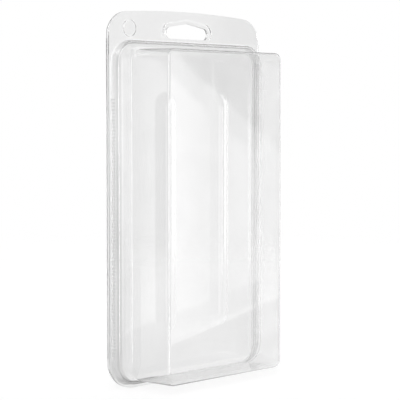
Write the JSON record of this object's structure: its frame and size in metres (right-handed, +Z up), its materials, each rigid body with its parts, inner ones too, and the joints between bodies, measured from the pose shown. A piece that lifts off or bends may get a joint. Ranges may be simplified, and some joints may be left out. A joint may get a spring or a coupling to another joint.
{
  "type": "plastic clamshell pack",
  "caption": "Clear thermoformed clamshell pack: a deep drafted front box on a stepped flange, folding on a side hinge over a ribbed plug-in back, with a hang hole in its header.",
  "frame": {"origin": "middle of the hang hole, halfway between the two flanges", "axes": "+Z up along the pack's height, -Y out of the front face, +X to the right as seen from the front"},
  "size_m": [0.1184, 0.0331, 0.207],
  "materials": {
    "clear_front": "clear glossy sheet with slight thermoforming waviness",
    "clear_back": "clear glossy sheet with slight thermoforming waviness"
  },
  "bodies": {
    "back": {"back_shell": "clear_back"},
    "front": {"front_shell": "clear_front"}
  },
  "joints": [
    {"name": "living_hinge", "type": "hinge", "parent": "back", "child": "front", "pos_m": [-0.0586, 0, 0], "axis": [0, 0, -1], "range_deg": [0, 180]}
  ]
}
